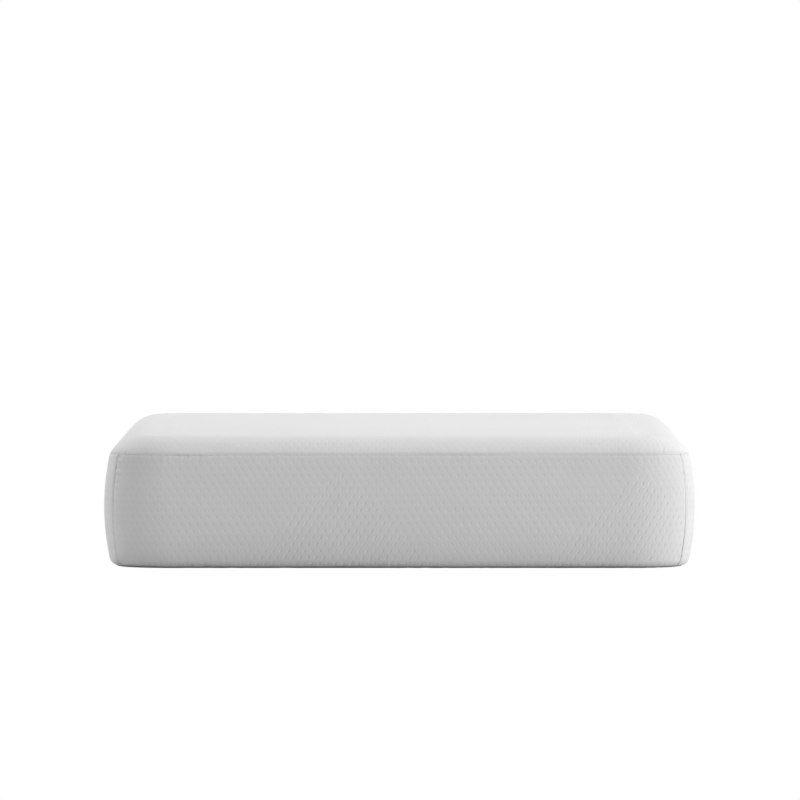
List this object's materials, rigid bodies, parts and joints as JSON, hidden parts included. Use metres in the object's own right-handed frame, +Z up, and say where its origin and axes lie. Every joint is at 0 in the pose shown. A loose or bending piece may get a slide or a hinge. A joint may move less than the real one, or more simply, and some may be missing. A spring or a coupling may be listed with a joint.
{
  "type": "memory foam mattress",
  "caption": "Thick rectangular foam mattress with rounded corners, softly bowed walls and a knitted zip-off cover over layered foam.",
  "frame": {"origin": "middle of the underside, on the floor", "axes": "+Z up through the thickness, +Y along the length towards the head end with the zipper, +X to the right seen from the foot end"},
  "size_m": [1.372, 1.905, 0.305],
  "materials": {
    "knit_cover": "white jacquard double knit with small slanted raised dashes in broad diamond zones, soft sheen",
    "base_cloth": "light grey spun-bonded non-woven with a small embossed grid",
    "sleeve_knit": "cream fire barrier rib knit",
    "thread": "white polyester sewing thread and overlocked edge",
    "memory_foam": "pale blue viscoelastic open cell polyurethane foam",
    "comfort_foam": "off-white open cell polyurethane foam",
    "base_foam": "light grey high density polyurethane foam",
    "zipper_tape": "white woven polyester tape with a herringbone weave",
    "zipper_coil": "white nylon monofilament coil",
    "zipper_metal": "plated zinc alloy",
    "label": "blank white spun-bonded label stock"
  },
  "bodies": {
    "mattress": {"base_foam_layer": "base_foam", "comfort_foam_layer": "comfort_foam", "memory_foam_layer": "memory_foam", "fire_barrier_sleeve": "sleeve_knit", "sleeve_seam_head": "thread", "sleeve_seam_foot": "thread", "cover_top_panel": "knit_cover", "side_panel_foot": "knit_cover", "side_panel_head": "knit_cover", "side_panel_left": "knit_cover", "side_panel_right": "knit_cover", "head_lower_band": "knit_cover", "base_panel": "base_cloth", "shoulder_seam": "thread", "base_binding": "thread", "corner_seam_foot_left": "thread", "corner_seam_foot_right": "thread", "corner_seam_head_left": "thread", "corner_seam_head_right": "thread", "zipper_tape_upper": "zipper_tape", "zipper_tape_lower": "zipper_tape", "zipper_coil_upper": "zipper_coil", "zipper_coil_lower": "zipper_coil", "zipper_top_stop_upper": "zipper_metal", "zipper_top_stop_lower": "zipper_metal", "zipper_bottom_stop": "zipper_metal", "law_label": "label"},
    "slider": {"zipper_slider": "zipper_metal"},
    "pull_tab": {"zipper_pull_tab": "zipper_metal"}
  },
  "joints": [
    {"name": "zip_slide", "type": "slide", "parent": "mattress", "child": "slider", "axis": [1, 0, 0], "range_m": [-0.9904, 0]},
    {"name": "pull_tab_swing", "type": "hinge", "parent": "slider", "child": "pull_tab", "pos_m": [0.4952, 0.94692, 0.04771], "axis": [0, 0.1608, 0.987], "range_deg": [0, 180]}
  ]
}
